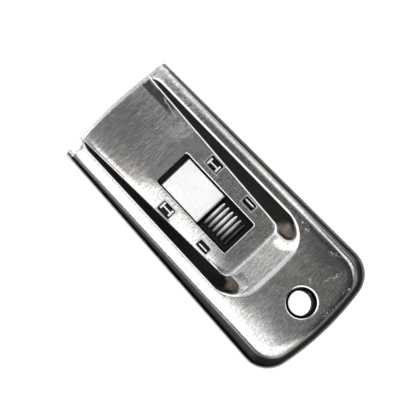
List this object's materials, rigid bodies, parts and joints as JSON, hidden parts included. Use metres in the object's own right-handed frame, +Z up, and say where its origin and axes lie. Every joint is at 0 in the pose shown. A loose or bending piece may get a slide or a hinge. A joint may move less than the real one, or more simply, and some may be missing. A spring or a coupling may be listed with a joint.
{
  "type": "paint scraper",
  "caption": "Pressed-steel pocket scraper: wedge-shaped shell with a sunk panel, a ribbed thumb slide that pushes a razor blade out of the front mouth, and a flared hanging hole.",
  "frame": {"origin": "under the middle of the back plate, on the face that the scraper rests on", "axes": "+Y along the housing to the blade, +Z up out of the sunk panel, +X to the right"},
  "size_m": [0.0492, 0.099, 0.0084],
  "materials": {
    "shell_steel": "brushed stainless, worn at the lip",
    "plate_steel": "brushed stainless",
    "rail_steel": "bright zinc-plated steel",
    "slide_steel": "satin nickel-plated steel",
    "carriage_steel": "dark oiled rolled steel",
    "blade_steel": "ground blade steel",
    "spine_steel": "plain folded steel",
    "spring_steel": "dull spring steel"
  },
  "bodies": {
    "housing": {"front_shell": "shell_steel", "back_plate": "plate_steel", "left_rail": "rail_steel", "right_rail": "rail_steel"},
    "slide": {"thumb_slide": "slide_steel", "blade_carriage": "carriage_steel", "razor_blade": "blade_steel", "blade_spine": "spine_steel", "detent_spring": "spring_steel", "spring_rivet": "rail_steel"}
  },
  "joints": [
    {"name": "blade_slide", "type": "slide", "parent": "housing", "child": "slide", "axis": [0, 1, 0], "range_m": [0, 0.0165]}
  ]
}
